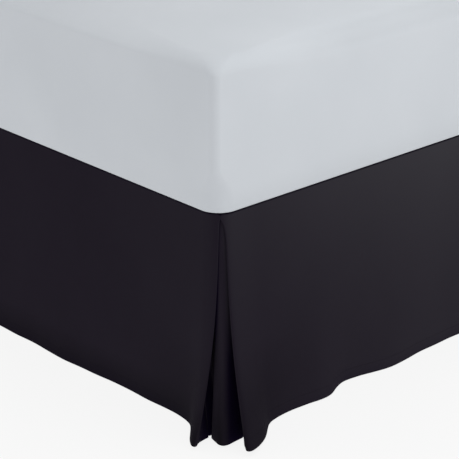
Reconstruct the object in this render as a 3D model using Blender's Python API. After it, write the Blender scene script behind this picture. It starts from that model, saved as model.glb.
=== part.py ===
"""Queen bed skirt with inverted corner pleats, hung between a mattress and a box spring on legs.

Metres, +Z up. The bed lies along Y with its head at +Y, and it stands on z = 0. The skirt has three drops:
across the foot and down both sides. Each foot corner has an inverted pleat: the two panels fold back at the
corner, and an underlay fills the gap that opens between the folds towards the hem.

A drop is a thin sheet made of upright columns. A column starts on the bed's outline at the top, and the tables
below say where it reaches the hem. "cloth" is the distance along the cloth from the fold of the pleat, positive
on the panel's face and negative on the return behind it. "along" and "out" are measured from the bed's sharp
corner, along the panel and away from the bed. "lift" is the height of the hem above the floor.
"""

import math
from collections import namedtuple

import bmesh
import bpy

MM = 0.001

BED_WIDTH = 1.524
BED_LENGTH = 2.032
DROP = 0.386                # height of the deck's upper face above the floor
CORNER_RADIUS = 0.034       # of the skirt's outline at the foot corners
MATTRESS_HEIGHT = 0.250
LEG_HEIGHT = 0.152
LEG_DIAMETER = 0.050
LEG_ROWS = 3

CLOTH = 0.0012              # thickness of the drops, the underlays and the deck
GAP = 0.0003                # between pieces that meet
FOLD_GAP = 0.0006           # between the panel's face and its return, and between the two folds at the corner
UNDERLAY_GAP = 0.0007       # between the returns and the underlay
BOX_SPRING_INSET = 0.013    # of the box spring's sides from the skirt's outer face
MATTRESS_OVERHANG = 0.002   # of the mattress past the skirt's outline
LEAST_RADIUS = 0.004        # of a corner that is drawn in

HEM_LIFT = 0.0025           # of the plain stretches of hem above the floor
TUCK_DEPTH = 0.0017         # of the returns' and underlays' upper ends under the deck's upper face
SLIDE_START = 0.02          # share of the drop at which the two folds of a pleat begin to part
SLIDE_PACE = 0.045          # share of the drop in which most of that parting happens
SLIDE_FADE = 0.090          # length of panel that gives way as the fold moves back

FOOT_EAR_REACH = 0.058      # how far the foot pleats stand out in front of the bed
FOOT_Y = -(BED_LENGTH + FOOT_EAR_REACH) / 2 + FOOT_EAR_REACH
HEAD_Y = FOOT_Y + BED_LENGTH
HEAD_MARGIN = 0.010         # of the side drops' ends from the head of the bed
MOST_SEEN = 430             # millimetres of panel beside a pleat whose waves get a column half way as well
LEAST_STEP = 15             # millimetres between two columns of a panel past its pleat
MITRE_LIMIT = 0.6           # least cosine of half a bend that still widens the mitre there

# Rows of a sheet, as shares of its depth: close at the top, where the pleats open.
ROWS = (0.0, 0.035, 0.07, 0.12, 0.21, 0.36, 0.54, 0.72, 0.87, 1.0)

Station = namedtuple("Station", "cloth along out lift")   # millimetres
Wave = namedtuple("Wave", "along out")                    # millimetres
Insert = namedtuple("Insert", "cloth across back lift")   # millimetres

# "flare" is the share of the tables' flare that a corner takes. "meet" is how far past the middle of the
# corner, towards the side, the two folds of the pleat meet. The slides are how far each then lies back.
Corner = namedtuple("Corner", "name side flare meet foot_slide side_slide")

# A flare grows downwards as this power of the depth.
FOOT_POWER, SIDE_POWER = 2.4, 1.8

# The foot panel at its pleat: the flare starts 100 mm from the corner and ends in a rounded tip.
FOOT_PLEAT = (
    Station(-50, 9, 12, 3),
    Station(-34, 6.5, 25, 4),
    Station(-18, 1, 39, 6.5),
    Station(-8, -4, 47, 8),
    Station(-3, -7.5, 52.5, 8),
    Station(1, -6.5, 56.5, 8),
    Station(5, -2, 57, 8),
    Station(12, 4.5, 54, 8),
    Station(22, 16, 45.5, 7.5),
    Station(34, 32, 30.5, 6.5),
    Station(46, 48, 15.5, 5),
    Station(57, 61, 5.5, 4),
    Station(69, 75, 0, 3.5),
    Station(84, 91, -3.5, 3),
    Station(105, 112, -5.2, 3),
)

# The side panel at its pleat stands out further and starts sooner.
SIDE_PLEAT = (
    Station(-54, 29, 34.5, 6),
    Station(-40, 20, 43.5, 7),
    Station(-22, 6, 58, 9),
    Station(-8, -2.5, 70, 10),
    Station(-2, -6, 76, 10),
    Station(3, -4, 80.5, 10),
    Station(9, 3, 81.5, 10),
    Station(20, 20, 76, 9),
    Station(34, 41, 65.5, 8),
    Station(48, 59, 52.5, 6.5),
    Station(62, 76, 37.5, 5),
    Station(74, 88, 27.5, 4.5),
    Station(90, 102, 20, 4),
    Station(118, 127, 14, 3.5),
    Station(150, 158, 11, 3),
)

# Slow waves of the hem past the pleats, a row for each crest, trough or change of slope.
FOOT_WAVES_RIGHT = (
    Wave(150, -5.2), Wave(200, -4), Wave(253, -3.4), Wave(305, -1.5), Wave(358, 0.8), Wave(411, 3.2),
    Wave(469, 3.1), Wave(529, 2.3), Wave(591, 0.9), Wave(680, -0.6), Wave(762, 0),
)
FOOT_WAVES_LEFT = (
    Wave(150, -4.5), Wave(215, -4), Wave(280, 0.5), Wave(340, 3.5), Wave(410, 2.5),
    Wave(500, -1.8), Wave(590, -1.2), Wave(680, 0.8), Wave(762, 0),
)
SIDE_WAVES_RIGHT = (
    Wave(191, 13.4), Wave(222, 17.5), Wave(246, 15), Wave(273, 2.8), Wave(295, -4.2), Wave(325, -3),
    Wave(360, 2), Wave(400, 7.6), Wave(430, 7), Wave(483, 1.3), Wave(538, -0.8), Wave(600, -1),
    Wave(700, 2), Wave(790, 8), Wave(850, 6.5), Wave(900, -1.5), Wave(980, -3), Wave(1080, 2.5),
    Wave(1170, 5), Wave(1290, -1.5), Wave(1400, -2), Wave(1500, 5.5), Wave(1580, 9), Wave(1640, 5),
    Wave(1700, -3), Wave(1800, -2), Wave(1920, 2), Wave(2032, 1),
)
SIDE_WAVES_LEFT = (
    Wave(200, 9), Wave(260, 12), Wave(330, 6), Wave(380, -3), Wave(450, -3.5), Wave(560, 1.5), Wave(660, 7),
    Wave(740, 8.5), Wave(800, 1), Wave(850, -3.5), Wave(960, -2), Wave(1080, 4), Wave(1200, 5.5),
    Wave(1300, -1), Wave(1420, -3.5), Wave(1540, 1), Wave(1640, 7), Wave(1710, 4), Wave(1770, -3),
    Wave(1880, -1), Wave(2032, 2),
)

# The underlay's hem at the pleat, seen in plan from the bed's corner: "across" points away from the side of
# the bed and "back" points to the head. "cloth" runs round the corner from the foot (negative) to the side
# (positive). On the foot side it is drawn in to an inner fold, and then stands forward in a soft tongue.
UNDERLAY = (
    Insert(-60, -19, -9, 3),
    Insert(-50, -12.5, -7, 3),
    Insert(-43, -11.5, 0, 3),
    Insert(-35, -10.5, 9, 3),
    Insert(-28, -8, 12.5, 3),
    Insert(-21, -5.5, 9, 3),
    Insert(-14, -4.5, -1, 3),
    Insert(-8, -3.5, -9.5, 3.5),
    Insert(-3, 3, -12.5, 4),
    Insert(3, 14, -16, 4.5),
    Insert(9, 24, -18.5, 5),
    Insert(15, 31.5, -15.5, 5),
    Insert(22, 34, -7, 5),
    Insert(32, 33, 6, 5),
    Insert(42, 31.5, 17, 4.5),
    Insert(50, 30, 27, 4),
    Insert(60, 25, 39, 4),
)

# Millimetres of the underlay's cloth between which its flare passes from the foot's power to the side's.
UNDERLAY_FOOT_END, UNDERLAY_SIDE_START = -28, 20

CORNERS = (
    Corner("right", 1, 1.00, 0.004, 0.002, 0.0095),
    Corner("left", -1, 0.90, -0.002, 0.009, 0.004),
)

HALF_ARC = CORNER_RADIUS * math.pi / 4
TURN_RADIUS = (CLOTH + FOLD_GAP) / 2
TURN_LENGTH = math.pi * TURN_RADIUS / 2
FACE_START = 1.5 * TURN_LENGTH          # of the panel that reaches up to the deck's upper face
FOLD_REACH = FOLD_GAP / 2 + CLOTH / 2 + TURN_RADIUS
RETURN_INSET = CLOTH / 2 + 2 * TURN_RADIUS
UNDERLAY_INSET = RETURN_INSET + CLOTH + UNDERLAY_GAP

SKIRT_COLOUR = (0.016, 0.014, 0.017, 1.0)
MATTRESS_COLOUR = (0.52, 0.54, 0.57, 1.0)
BOX_SPRING_COLOUR = (0.60, 0.58, 0.54, 1.0)
LEG_COLOUR = (0.05, 0.035, 0.025, 1.0)


def clear_scene():
    for item in list(bpy.data.objects):
        bpy.data.objects.remove(item, do_unlink=True)


def material(name, colour, roughness):
    made = bpy.data.materials.new(name)
    made.use_nodes = True
    shader = made.node_tree.nodes["Principled BSDF"]
    shader.inputs["Base Color"].default_value = colour
    shader.inputs["Roughness"].default_value = roughness
    made.diffuse_color = colour
    return made


def add_object(name, verts, faces, finish, sharp_degrees=40):
    mesh = bpy.data.meshes.new(name)
    mesh.from_pydata(verts, [], faces)
    mesh.validate()
    fixed = bmesh.new()
    fixed.from_mesh(mesh)
    bmesh.ops.recalc_face_normals(fixed, faces=fixed.faces)
    bmesh.ops.triangulate(fixed, faces=fixed.faces)
    fixed.to_mesh(mesh)
    fixed.free()
    mesh.shade_smooth()
    mesh.set_sharp_from_angle(angle=math.radians(sharp_degrees))
    mesh.materials.append(finish)
    made = bpy.data.objects.new(name, mesh)
    bpy.context.scene.collection.objects.link(made)
    return made


def read_table(table, key):
    """The values of a table's rows at one key, on a smooth curve through the rows (three-point slopes)."""
    keys = [row[0] for row in table]
    if key <= keys[0]:
        return table[0][1:]
    if key >= keys[-1]:
        return table[-1][1:]
    at = max(index for index, start in enumerate(keys) if start <= key)

    def slope(index, field):
        before, after = max(index - 1, 0), min(index + 1, len(table) - 1)
        return (table[after][field] - table[before][field]) / (keys[after] - keys[before])

    span = keys[at + 1] - keys[at]
    t = (key - keys[at]) / span
    values = []
    for field in range(1, len(table[0])):
        a, b = table[at][field], table[at + 1][field]
        rise_a, rise_b = slope(at, field) * span, slope(at + 1, field) * span
        values.append(
            (2 * t**3 - 3 * t**2 + 1) * a + (t**3 - 2 * t**2 + t) * rise_a
            + (3 * t**2 - 2 * t**3) * b + (t**3 - t**2) * rise_b
        )
    return values


def outline(reach, inset):
    """A point of the foot corner's outline, as (along, out), this far from the middle of the corner."""
    if reach >= HALF_ARC:
        return CORNER_RADIUS + reach - HALF_ARC, -inset
    angle = (HALF_ARC - reach) / CORNER_RADIUS
    radius = CORNER_RADIUS - inset
    return CORNER_RADIUS - radius * math.sin(angle), radius * math.cos(angle) - CORNER_RADIUS


def fold_shift(depth, meet, slide):
    """How far the fold of a pleat lies back from the middle of the corner at this share of the drop."""
    parted = 1 - math.exp(-max(depth - SLIDE_START, 0.0) / SLIDE_PACE)
    return meet + slide * parted * (1 - depth**2)


def pleat_top(cloth, shift):
    """Where a column of a folded-back panel lies on the bed's outline, as (along, out)."""
    if cloth >= TURN_LENGTH:
        reach = cloth - TURN_LENGTH
        give = shift * max(1 - reach / SLIDE_FADE, 0.0) ** 2
        return outline(FOLD_REACH + reach + give, CLOTH / 2)
    if cloth <= -TURN_LENGTH:
        return outline(FOLD_REACH + shift - cloth - TURN_LENGTH, RETURN_INSET)
    angle = cloth / TURN_RADIUS
    reach = FOLD_REACH + shift - TURN_RADIUS * math.cos(angle)
    return outline(reach, CLOTH / 2 + TURN_RADIUS * (1 - math.sin(angle)))


def with_waves(pleat, waves):
    """A panel's whole hem: the rows of its pleat, and then a row for each wave."""
    straight = CORNER_RADIUS - HALF_ARC + FOLD_REACH - TURN_LENGTH
    rows = [Station(wave.along - straight / MM, wave.along, wave.out, HEM_LIFT / MM) for wave in waves]
    return tuple(pleat) + tuple(rows)


def panel_column(cloth, hem, flare, meet, slide, power):
    """A column of a drop: a function from the depth's share to (along, out, height)."""
    along_hem, out_hem, lift = (value * MM for value in read_table(hem, cloth / MM))
    top = DROP if cloth > FACE_START else DROP - TUCK_DEPTH

    def place(depth):
        along, out = pleat_top(cloth, fold_shift(depth, meet, slide))
        share = flare * depth**power
        plain = HEM_LIFT + flare * (lift - HEM_LIFT)
        return along + share * (along_hem - along), out + share * (out_hem - out), top + depth * (plain - top)

    return place


def cloth_steps(hem, end):
    """Where the columns of a panel stand: close round the fold, and then a step or two for each wave."""
    turn = [TURN_LENGTH / MM * (quarter / 2 - 1) for quarter in range(5)]
    behind = [hem[0].cloth * share for share in (1.0, 0.75, 0.5, 0.27, 0.1)]
    face = [3, 7, 13, 22, 32, 42, 52, 62, 74, 90, 112, 140]
    far = []
    for row, following in zip(hem, hem[1:]):
        far.append(row.cloth)
        if row.cloth < MOST_SEEN:
            far.append((row.cloth + following.cloth) / 2)
    between = [step for step in far if face[-1] + LEAST_STEP < step < end - LEAST_STEP]
    return behind + turn + face + between + [end]


def sheet(name, columns, finish):
    """A closed thin solid from upright columns, each a function from the depth's share to a point."""
    verts, faces = [], []
    count = len(columns)
    for depth in ROWS:
        middle = [column(depth) for column in columns]
        for index, (x, y, z) in enumerate(middle):
            before, after = middle[max(index - 1, 0)], middle[min(index + 1, count - 1)]
            run_in = (x - before[0], y - before[1])
            run_out = (after[0] - x, after[1] - y)
            turns = []
            for dx, dy in (run_in, run_out):
                length = math.hypot(dx, dy)
                if length:
                    turns.append((-dy / length, dx / length))
            nx, ny = sum(turn[0] for turn in turns), sum(turn[1] for turn in turns)
            size = math.hypot(nx, ny)
            nx, ny = nx / size, ny / size
            reach = CLOTH / 2 / max(nx * turns[0][0] + ny * turns[0][1], MITRE_LIMIT)
            verts.append((x + nx * reach, y + ny * reach, z))
            verts.append((x - nx * reach, y - ny * reach, z))

    def at(row, index, face):
        return 2 * (row * count + index) + face

    last = len(ROWS) - 1
    for row in range(last):
        for index in range(count - 1):
            corners = ((row, index), (row, index + 1), (row + 1, index + 1), (row + 1, index))
            faces.append([at(r, i, 0) for r, i in corners])
            faces.append([at(r, i, 1) for r, i in reversed(corners)])
        for index in (0, count - 1):
            faces.append([at(row, index, 0), at(row, index, 1), at(row + 1, index, 1), at(row + 1, index, 0)])
    for row in (0, last):
        for index in range(count - 1):
            faces.append([at(row, index, 0), at(row, index, 1), at(row, index + 1, 1), at(row, index + 1, 0)])
    return add_object(name, verts, faces, finish)


def from_foot(side, place):
    """A column of the foot panel, placed at its right or left corner."""
    def placed(depth):
        along, out, height = place(depth)
        return side * (BED_WIDTH / 2 - along), FOOT_Y - out, height
    return placed


def from_side(side, place):
    """A column of a side panel, placed at its foot corner."""
    def placed(depth):
        along, out, height = place(depth)
        return side * (BED_WIDTH / 2 + out), FOOT_Y + along, height
    return placed


def foot_drop(finish):
    halves = []
    for corner, waves in zip(CORNERS, (FOOT_WAVES_RIGHT, FOOT_WAVES_LEFT)):
        hem = with_waves(FOOT_PLEAT, waves)
        half = []
        for step in cloth_steps(hem, hem[-1].cloth):
            place = panel_column(step * MM, hem, corner.flare, -corner.meet, corner.foot_slide, FOOT_POWER)
            half.append(from_foot(corner.side, place))
        halves.append(half)
    right, left = halves
    return sheet("foot_drop", left + right[-2::-1], finish)


def side_drop(corner, waves, finish):
    hem = with_waves(SIDE_PLEAT, waves)
    end = hem[-1].cloth - HEAD_MARGIN / MM
    columns = []
    for step in cloth_steps(hem, end):
        place = panel_column(step * MM, hem, corner.flare, corner.meet, corner.side_slide, SIDE_POWER)
        columns.append(from_side(corner.side, place))
    return sheet("side_drop_" + corner.name, columns, finish)


def underlay_column(cloth, side, flare):
    """A column of the underlay behind a pleat: a function from the depth's share to a point in space."""
    across_hem, back_hem, lift = (value * MM for value in read_table(UNDERLAY, cloth / MM))
    along, out = outline(abs(cloth), UNDERLAY_INSET)
    across, back = (-along, -out) if cloth < 0 else (out, along)
    top = DROP - TUCK_DEPTH
    sideways = (cloth / MM - UNDERLAY_FOOT_END) / (UNDERLAY_SIDE_START - UNDERLAY_FOOT_END)
    power = FOOT_POWER + (SIDE_POWER - FOOT_POWER) * min(max(sideways, 0.0), 1.0)

    def placed(depth):
        share = flare * depth**power
        x = across + share * (across_hem - across)
        y = back + share * (back_hem - back)
        return side * (BED_WIDTH / 2 + x), FOOT_Y + y, top + depth * (lift - top)

    return placed


def corner_underlay(corner, finish):
    columns = [underlay_column(row.cloth * MM, corner.side, corner.flare) for row in UNDERLAY]
    return sheet("corner_underlay_" + corner.name, columns, finish)


def rounded_ring(half_width, foot, head, radius, height, steps=6):
    """Points round a rectangle with rounded corners, anticlockwise from its right side at the foot."""
    corners = (
        (half_width - radius, foot + radius, -90),
        (half_width - radius, head - radius, 0),
        (-half_width + radius, head - radius, 90),
        (-half_width + radius, foot + radius, 180),
    )
    ring = []
    for x, y, start in corners:
        for step in range(steps + 1):
            angle = math.radians(start + 90 * step / steps)
            ring.append((x + radius * math.cos(angle), y + radius * math.sin(angle), height))
    return ring


def stacked_rings(name, rings, finish, crown=0.0):
    """A closed solid through rings of equally many points, with flat ends. crown lifts its top's middle."""
    count = len(rings[0])
    verts = [point for ring in rings for point in ring]
    faces = []
    for level in range(len(rings) - 1):
        for index in range(count):
            following = (index + 1) % count
            low, high = level * count, (level + 1) * count
            faces.append([low + index, low + following, high + following, high + index])
    faces.append(list(range(count))[::-1])
    top = (len(rings) - 1) * count
    if crown:
        verts.append((0.0, (FOOT_Y + HEAD_Y) / 2, rings[-1][0][2] + crown))
        faces += [[top + index, top + (index + 1) % count, len(verts) - 1] for index in range(count)]
    else:
        faces.append([top + index for index in range(count)])
    return add_object(name, verts, faces, finish)


def inset_ring(inset, height, head_inset):
    """A ring of the bed's outline drawn in by an inset, and by one of its own at the head."""
    radius = max(CORNER_RADIUS - inset, LEAST_RADIUS)
    return rounded_ring(BED_WIDTH / 2 - inset, FOOT_Y + inset, HEAD_Y - head_inset, radius, height)


def deck(finish):
    """The platform sheet; its edge meets the inner faces of the drops."""
    edge = CLOTH + GAP
    rings = [inset_ring(edge, height, 0.0) for height in (DROP - CLOTH, DROP)]
    return stacked_rings("deck", rings, finish)


def mattress(finish):
    """A block with full sides, a soft upper edge, a low crown and corners that are tighter at the top."""
    low_roll, high_roll, steps = 0.006, 0.050, 4
    fullness, fullest_at, crown = 0.003, 0.45, 0.008
    low_radius, high_radius = CORNER_RADIUS + MATTRESS_OVERHANG, 0.010
    base = DROP + GAP
    levels = []
    for step in range(steps + 1):
        angle = math.radians(90 * step / steps)
        levels.append((low_roll * (1 - math.sin(angle)), low_roll * (1 - math.cos(angle))))
    levels.append((-fullness, MATTRESS_HEIGHT * fullest_at))
    for step in range(steps + 1):
        angle = math.radians(90 * step / steps)
        height = MATTRESS_HEIGHT - high_roll * (1 - math.sin(angle))
        levels.append((high_roll * (1 - math.cos(angle)), height))
    rings = []
    for inset, height in levels:
        share = min(height / (MATTRESS_HEIGHT - high_roll), 1.0)
        radius = low_radius + (high_radius - low_radius) * share + max(inset, 0.0) * share
        out = MATTRESS_OVERHANG - inset
        half_width, foot, head = BED_WIDTH / 2 + out, FOOT_Y - out, HEAD_Y + out
        rings.append(rounded_ring(half_width, foot, head, radius, base + height))
    return stacked_rings("mattress", rings, finish, crown)


def box_spring(finish):
    bottom, top, bevel = LEG_HEIGHT, DROP - CLOTH - GAP, 0.006
    levels = ((bevel, bottom), (0.0, bottom + bevel), (0.0, top - bevel), (bevel, top))
    rings = []
    for drawn_in, height in levels:
        inset = BOX_SPRING_INSET + drawn_in
        rings.append(inset_ring(inset, height, inset))
    return stacked_rings("box_spring", rings, finish)


def legs(finish):
    """Straight round legs in two rows, set in from the sides of the bed."""
    in_from_side, in_from_end, sides = 0.120, 0.150, 24
    first, last = FOOT_Y + in_from_end, HEAD_Y - in_from_end
    number = 0
    for row in range(LEG_ROWS):
        y = first + (last - first) * row / (LEG_ROWS - 1)
        for side in (-1, 1):
            number += 1
            x = side * (BED_WIDTH / 2 - in_from_side)
            rings = []
            for height in (0.0, LEG_HEIGHT - GAP):
                turn = [2 * math.pi * step / sides for step in range(sides)]
                radius = LEG_DIAMETER / 2
                rings.append([(x + radius * math.cos(a), y + radius * math.sin(a), height) for a in turn])
            stacked_rings(f"leg_{number}", rings, finish)


def main():
    clear_scene()
    cloth = material("skirt_cloth", SKIRT_COLOUR, 0.9)
    foot_drop(cloth)
    for corner, waves in zip(CORNERS, (SIDE_WAVES_RIGHT, SIDE_WAVES_LEFT)):
        side_drop(corner, waves, cloth)
        corner_underlay(corner, cloth)
    deck(cloth)
    mattress(material("mattress_cover", MATTRESS_COLOUR, 0.85))
    box_spring(material("box_spring_cover", BOX_SPRING_COLOUR, 0.85))
    legs(material("leg_wood", LEG_COLOUR, 0.5))


main()
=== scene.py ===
"""The looks of a near-black tailored bed skirt under a pale mattress. Metres, +Z up, the bed's head at +Y."""

import math
from collections import namedtuple

import bpy
import numpy as np
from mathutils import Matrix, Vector


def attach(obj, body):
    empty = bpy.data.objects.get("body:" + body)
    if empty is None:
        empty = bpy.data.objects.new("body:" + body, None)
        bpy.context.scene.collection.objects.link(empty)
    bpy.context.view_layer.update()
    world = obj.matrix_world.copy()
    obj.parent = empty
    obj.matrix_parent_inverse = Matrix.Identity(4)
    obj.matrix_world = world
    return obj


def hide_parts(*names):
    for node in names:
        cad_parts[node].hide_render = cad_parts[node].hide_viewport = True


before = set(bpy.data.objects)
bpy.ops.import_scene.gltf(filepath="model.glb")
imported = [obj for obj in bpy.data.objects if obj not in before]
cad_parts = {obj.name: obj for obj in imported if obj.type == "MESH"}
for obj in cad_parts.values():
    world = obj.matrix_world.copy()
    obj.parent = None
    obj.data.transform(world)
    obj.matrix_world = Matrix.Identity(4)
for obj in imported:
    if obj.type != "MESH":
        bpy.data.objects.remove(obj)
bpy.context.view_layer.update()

MM = 0.001

# Sizes of the bed and of the skirt, as the solids have them.
BED_WIDTH = 1.524
BED_LENGTH = 2.032
DROP = 0.386
CORNER_RADIUS = 0.034
MATTRESS_HEIGHT = 0.250
CLOTH = 0.0012
GAP = 0.0003
FOLD_GAP = 0.0006
UNDERLAY_GAP = 0.0007
BOX_SPRING_INSET = 0.013
LEG_HEIGHT = 0.152
MATTRESS_OVERHANG = 0.002
HEM_LIFT = 0.0025
TUCK_DEPTH = 0.0017
SLIDE_START, SLIDE_PACE, SLIDE_FADE = 0.02, 0.045, 0.090
FOOT_EAR_REACH = 0.058
FOOT_Y = -(BED_LENGTH + FOOT_EAR_REACH) / 2 + FOOT_EAR_REACH
HEAD_Y = FOOT_Y + BED_LENGTH
HEAD_MARGIN = 0.010
FOOT_POWER, SIDE_POWER = 2.4, 1.8
CLOSED_TO, OPEN_FROM = 0.020, 0.036   # shares of the drop between which the sewn top of a pleat opens
UNDERLAY_SLACK = 0.0055     # that the underlay hangs back behind the foot panel's fold
HALF_ARC = CORNER_RADIUS * math.pi / 4
TURN_RADIUS = (CLOTH + FOLD_GAP) / 2
TURN_LENGTH = math.pi * TURN_RADIUS / 2
TUCKED_TO = 1.5 * TURN_LENGTH         # up to here the cloth hangs from just under the deck
SEAM_CLOSES, SEAM_PRESSES = 0.9, 0.75     # shares of the folds' gap and of their round that the seam takes up
SQUARE_MITRE = 0.41                   # share by which the front of a square fold stands further out
FOLD_REACH = FOLD_GAP / 2 + CLOTH / 2 + TURN_RADIUS
RETURN_INSET = CLOTH / 2 + 2 * TURN_RADIUS
UNDERLAY_INSET = RETURN_INSET + CLOTH + UNDERLAY_GAP

# Unevenness of the panels: the waves' lengths, their size and growth downwards, and the stretch of cloth over
# which they set in.
RIPPLE_LENGTHS = (0.31, 0.19, 0.123, 0.071)
RIPPLE_SIZE, RIPPLE_POWER, RIPPLE_SPAN = 0.0042, 1.3, (0.05, 0.20)
MIDDLE_SPAN = 0.15                    # over which the foot panel is level at its middle

# Columns and rows of the sheets' meshes.
FOLD_NEAR, FOLD_FAR, PANEL_STEP = 0.012, 0.14, 0.006
TOP_ROWS_TO, CLOSE_ROW = 0.16, 0.0006
UNDERLAY_COLUMNS = 81

# Sewing of the hem.
HEM_DEPTH = 0.022           # the turned-up hem
HEM_EXTRA = 0.0008          # that the hem allowance adds behind the cloth
STITCH_ABOVE = 0.0195       # the stitch line, above the hem's edge
STITCH_LENGTH, STITCH_PITCH, STITCH_CLEAR, THREAD = 0.0030, 0.0039, 0.004, 0.00028
HEM_STEP = 0.0004           # either way, over which the hem allowance sets in
DIMPLE_WIDTH, DIMPLE_DEPTH = 0.0009, 0.00018    # of the cloth drawn in by the stitches
EDGE_ROUND, EDGE_REACH = 0.55, 0.0004           # share by which the hem's edge is thinner, and how far up

Station = namedtuple("Station", "cloth along out lift")   # millimetres
Wave = namedtuple("Wave", "along out")                    # millimetres
Insert = namedtuple("Insert", "cloth across back lift")   # millimetres
Corner = namedtuple("Corner", "name side flare meet foot_slide side_slide")
Edge = namedtuple("Edge", "reach fall")                   # metres
Pod = namedtuple("Pod", "share girth lift")               # of a stitch's length, and in thread radii
Spot = namedtuple("Spot", "uv from_fold down normal ahead aside at_hem")   # sockets

STITCH = (
    Pod(0.0, 0.35, -0.8),
    Pod(0.2, 0.9, 0.12),
    Pod(0.5, 1.0, 0.28),
    Pod(0.8, 0.9, 0.12),
    Pod(1.0, 0.35, -0.8),
)

FOOT_PLEAT = (
    Station(-50, 9, 12, 3),
    Station(-34, 6.5, 25, 4),
    Station(-18, 1, 39, 6.5),
    Station(-8, -4, 47, 8),
    Station(-3, -7.5, 52.5, 8),
    Station(1, -6.5, 56.5, 8),
    Station(5, -2, 57, 8),
    Station(12, 4.5, 54, 8),
    Station(22, 16, 45.5, 7.5),
    Station(34, 32, 30.5, 6.5),
    Station(46, 48, 15.5, 5),
    Station(57, 61, 5.5, 4),
    Station(69, 75, 0, 3.5),
    Station(84, 91, -3.5, 3),
    Station(105, 112, -5.2, 3),
)
SIDE_PLEAT = (
    Station(-54, 29, 34.5, 6),
    Station(-40, 20, 43.5, 7),
    Station(-22, 6, 58, 9),
    Station(-8, -2.5, 70, 10),
    Station(-2, -6, 76, 10),
    Station(3, -4, 80.5, 10),
    Station(9, 3, 81.5, 10),
    Station(20, 20, 76, 9),
    Station(34, 41, 65.5, 8),
    Station(48, 59, 52.5, 6.5),
    Station(62, 76, 37.5, 5),
    Station(74, 88, 27.5, 4.5),
    Station(90, 102, 20, 4),
    Station(118, 127, 14, 3.5),
    Station(150, 158, 11, 3),
)
FOOT_WAVES_RIGHT = (
    Wave(150, -5.2), Wave(200, -4), Wave(253, -3.4), Wave(305, -1.5), Wave(358, 0.8), Wave(411, 3.2),
    Wave(469, 3.1), Wave(529, 2.3), Wave(591, 0.9), Wave(680, -0.6), Wave(762, 0),
)
FOOT_WAVES_LEFT = (
    Wave(150, -4.5), Wave(215, -4), Wave(280, 0.5), Wave(340, 3.5), Wave(410, 2.5),
    Wave(500, -1.8), Wave(590, -1.2), Wave(680, 0.8), Wave(762, 0),
)
SIDE_WAVES_RIGHT = (
    Wave(191, 13.4), Wave(222, 17.5), Wave(246, 15), Wave(273, 2.8), Wave(295, -4.2), Wave(325, -3),
    Wave(360, 2), Wave(400, 7.6), Wave(430, 7), Wave(483, 1.3), Wave(538, -0.8), Wave(600, -1),
    Wave(700, 2), Wave(790, 8), Wave(850, 6.5), Wave(900, -1.5), Wave(980, -3), Wave(1080, 2.5),
    Wave(1170, 5), Wave(1290, -1.5), Wave(1400, -2), Wave(1500, 5.5), Wave(1580, 9), Wave(1640, 5),
    Wave(1700, -3), Wave(1800, -2), Wave(1920, 2), Wave(2032, 1),
)
SIDE_WAVES_LEFT = (
    Wave(200, 9), Wave(260, 12), Wave(330, 6), Wave(380, -3), Wave(450, -3.5), Wave(560, 1.5), Wave(660, 7),
    Wave(740, 8.5), Wave(800, 1), Wave(850, -3.5), Wave(960, -2), Wave(1080, 4), Wave(1200, 5.5),
    Wave(1300, -1), Wave(1420, -3.5), Wave(1540, 1), Wave(1640, 7), Wave(1710, 4), Wave(1770, -3),
    Wave(1880, -1), Wave(2032, 2),
)
UNDERLAY = (
    Insert(-60, -19, -9, 3),
    Insert(-50, -12.5, -7, 3),
    Insert(-43, -11.5, 0, 3),
    Insert(-35, -10.5, 9, 3),
    Insert(-28, -8, 12.5, 3),
    Insert(-21, -5.5, 9, 3),
    Insert(-14, -4.5, -1, 3),
    Insert(-8, -3.5, -9.5, 3.5),
    Insert(-3, 3, -12.5, 4),
    Insert(3, 14, -16, 4.5),
    Insert(9, 24, -18.5, 5),
    Insert(15, 31.5, -15.5, 5),
    Insert(22, 34, -7, 5),
    Insert(32, 33, 6, 5),
    Insert(42, 31.5, 17, 4.5),
    Insert(50, 30, 27, 4),
    Insert(60, 25, 39, 4),
)
# Millimetres of an underlay's cloth up to which it flares like the foot panel, and from which like a side.
UNDERLAY_FOOT_TO, UNDERLAY_SIDE_FROM = -28, 20
# Where its slack sets in, in metres of cloth from the corner and in shares of the drop.
SLACK_SPAN, SLACK_DEPTH = (0.003, 0.008), (0.03, 0.22)
CORNERS = (
    Corner("right", 1, 1.00, 0.004, 0.002, 0.0095),
    Corner("left", -1, 0.90, -0.002, 0.009, 0.004),
)

# Colours. Those of the cloths go from their darker to their lighter threads and places.
CLOTH_LOW, CLOTH_HIGH = (0.0124, 0.0097, 0.0155, 1), (0.0152, 0.0122, 0.0188, 1)
THREAD_COLOUR = (0.010, 0.008, 0.013, 1)
PALE_LOW, PALE_HIGH = (0.535, 0.562, 0.598, 1), (0.585, 0.612, 0.648, 1)
OATMEAL_LOW, OATMEAL_HIGH = (0.40, 0.37, 0.32, 1), (0.52, 0.49, 0.43, 1)
WOOD_LOW, WOOD_HIGH = (0.022, 0.012, 0.007, 1), (0.085, 0.050, 0.030, 1)

# Threads' pitch in each cloth, and the height of the creases in the covers.
SKIRT_WEAVE = 0.00042
COVER_WEAVE, COVER_WRINKLE = 0.0005, 0.0006
TICKING_WEAVE, TICKING_WRINKLE = 0.0011, 0.0003
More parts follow.
